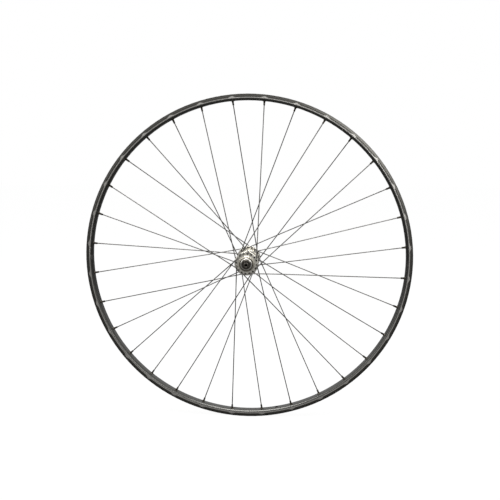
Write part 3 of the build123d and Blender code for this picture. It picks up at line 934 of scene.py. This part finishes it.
@dataclass
class AxleSet:
    """The hollow axle with its threads, and the washers and locknuts on it."""

    dresser: Dresser

    def build(self) -> None:
        """Dress the pieces, and put the threaded axle in the plain one's place."""
        self.dresser.dress_pair("turned_cone", "keyed_washer")
        self.dresser.dress_pair("blackened_nut", "locknut")
        axle = ThreadedAxle().build()
        self.dresser.finishes.wear(axle, "dark_axle")
        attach(axle, "axle_assembly")
        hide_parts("axle")


# ---- studio -------------------------------------------------------------------------


@dataclass
class Lamp:
    """A soft rectangular lamp that points at the wheel."""

    name: str
    place: tuple[float, float, float]
    width: float
    height: float
    power: float
    colour: Colour = (1.0, 1.0, 1.0)

    def build(self, target: Vector) -> None:
        """Make the lamp.

        Args:
            target: The point that the lamp faces.
        """
        data = bpy.data.lights.new(self.name, "AREA")
        data.shape = "RECTANGLE"
        data.size, data.size_y = self.width, self.height
        data.energy = self.power
        data.color = self.colour
        lamp = bpy.data.objects.new(self.name, data)
        lamp.location = self.place
        aim = target - Vector(self.place)
        lamp.rotation_euler = aim.to_track_quat("-Z", "Y").to_euler()
        bpy.context.scene.collection.objects.link(lamp)


@dataclass
class Studio:
    """The floor, the white surroundings, the lamps and the camera."""

    floor_height: float
    azimuth: float = 3.71
    elevation: float = 10.17
    distance: float = 1.42535
    lens: float = 52.74
    shift_x: float = 0.0046
    shift_y: float = 0.0206
    sensor_width: float = 36.0
    view_depth: float = 50.0
    floor_half: float = 6.0
    background: float = 1.0  # the strength that shows as white
    floor_glow: float = 0.96  # how much of the white the camera sees on the floor
    floor_shine: float = 0.06  # and how much of it shows there as a reflection
    floor_colour: Colour = (0.92, 0.92, 0.92)
    floor_in_metal: Colour = (0.07, 0.07, 0.07)  # its shade where it shows as a reflection
    sky: tuple[float, float] = (0.5, 1.1)  # its strength below and above
    sky_span: tuple[float, float] = (-0.1, 0.8)
    front: tuple[float, float] = (0.85, 1.0)  # how much of it shows in front and behind
    front_span: tuple[float, float] = (-0.9, 0.3)
    lamps: list[Lamp] = field(default_factory=list)

    def build(self) -> None:
        """Set the whole studio up."""
        self.build_floor()
        self.build_world()
        for lamp in self.lamps:
            lamp.build(Vector((0, 0, 0)))
        self.build_camera()
        bpy.context.scene.view_settings.view_transform = "Standard"

    @staticmethod
    def seen(board: Board, direct: float, in_metal: float) -> Socket:
        """How much of the white background shows to the camera, and as a reflection.

        Args:
            board: The board to add it to.
            direct: The share that the camera sees, also through glass.
            in_metal: The share that shows as a reflection.

        Returns:
            The share's socket.
        """
        path = board.add("ShaderNodeLightPath").outputs
        straight = board.math("MAXIMUM", path["Is Camera Ray"], path["Is Transmission Ray"])
        mirrored = board.math("MULTIPLY", path["Is Glossy Ray"], in_metal)
        return board.math("MAXIMUM", board.math("MULTIPLY", straight, direct), mirrored)

    def build_floor(self) -> None:
        """Lay a pale floor that keeps the wheel's soft shadow."""
        half, low = self.floor_half, self.floor_height
        mesh = bpy.data.meshes.new("floor")
        corners = [(-half, -half, low), (half, -half, low), (half, half, low), (-half, half, low)]
        mesh.from_pydata(corners, [], [(0, 1, 2, 3)])
        floor = bpy.data.objects.new("floor", mesh)
        bpy.context.scene.collection.objects.link(floor)
        material = bpy.data.materials.new("studio_floor")
        material.use_nodes = True
        board = Board(material.node_tree)
        board.tree.nodes.clear()
        plain = board.add("ShaderNodeBsdfDiffuse")
        mirrored = board.add("ShaderNodeLightPath").outputs["Is Glossy Ray"]
        shade = board.blend(mirrored, self.floor_colour, self.floor_in_metal)
        board.feed(shade, plain.inputs["Color"])
        glow = board.add("ShaderNodeEmission")
        glow.inputs["Strength"].default_value = self.background
        mix = board.add("ShaderNodeMixShader")
        board.feed(self.seen(board, self.floor_glow, self.floor_shine), mix.inputs[0])
        board.feed(plain.outputs[0], mix.inputs[1])
        board.feed(glow.outputs[0], mix.inputs[2])
        output = board.add("ShaderNodeOutputMaterial")
        board.feed(mix.outputs[0], output.inputs["Surface"])
        mesh.materials.append(material)
        floor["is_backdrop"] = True

    def build_world(self) -> None:
        """Surround the wheel with white, and light it with a soft sky."""
        world = bpy.data.worlds.new("studio_world")
        bpy.context.scene.world = world
        world.use_nodes = True
        board = Board(world.node_tree)
        board.tree.nodes.clear()
        direction = board.add("ShaderNodeTexCoord").outputs["Generated"]
        split = board.add("ShaderNodeSeparateXYZ")
        board.feed(direction, split.inputs[0])
        height = board.ramp(split.outputs["Z"], *self.sky_span, self.sky)
        depth = board.ramp(split.outputs["Y"], *self.front_span, self.front)
        sky = board.add("ShaderNodeBackground")
        sky.inputs["Color"].default_value = WHITE
        board.feed(board.math("MULTIPLY", height, depth), sky.inputs["Strength"])
        white = board.add("ShaderNodeBackground")
        white.inputs["Color"].default_value = WHITE
        white.inputs["Strength"].default_value = self.background
        mix = board.add("ShaderNodeMixShader")
        board.feed(self.seen(board, 1.0, 0.0), mix.inputs[0])
        board.feed(sky.outputs[0], mix.inputs[1])
        board.feed(white.outputs[0], mix.inputs[2])
        output = board.add("ShaderNodeOutputWorld")
        board.feed(mix.outputs[0], output.inputs["Surface"])

    def build_camera(self) -> None:
        """Place the camera a little above the hub and to its right, and point it at the hub."""
        turn, lift = radians(self.azimuth), radians(self.elevation)
        back = Vector((sin(turn) * cos(lift), -cos(turn) * cos(lift), sin(lift)))
        data = bpy.data.cameras.new("camera")
        data.lens = self.lens
        data.sensor_width = self.sensor_width
        data.shift_x, data.shift_y = self.shift_x, self.shift_y
        data.clip_end = self.view_depth
        camera = bpy.data.objects.new("camera", data)
        camera.location = back * self.distance
        camera.rotation_euler = (-back).to_track_quat("-Z", "Y").to_euler()
        bpy.context.scene.collection.objects.link(camera)
        bpy.context.scene.camera = camera


# ---- the whole wheel ----------------------------------------------------------------


def plain_box() -> list[list[float]]:
    """The whole object's box as plain lists of numbers.

    Returns:
        The lowest and the highest corner.
    """
    return [[float(value) for value in corner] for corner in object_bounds()]


def main() -> None:
    """Build the wheel's looks and the studio around it."""
    logging.basicConfig(level=logging.INFO, format="%(name)s: %(message)s")
    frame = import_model()
    packed = plain_box()
    finishes = Finishes(Effects())
    dresser = Dresser(frame["nodes"], finishes)
    for assembly in (RimAndSpokes(dresser), Hub(dresser), AxleSet(dresser)):
        assembly.build()
    lamps = [
        Lamp("overhead", (-0.2, -0.6, 1.9), 1.6, 1.0, 55.0),
        Lamp("front_left", (-1.9, -1.7, 0.9), 0.8, 1.6, 9.0),
        Lamp("front_right", (0.8, -1.9, 0.6), 0.6, 0.9, 9.0),
    ]
    Studio(floor_height=packed[0][2], lamps=lamps).build()


if __name__ == "__main__":
    main()
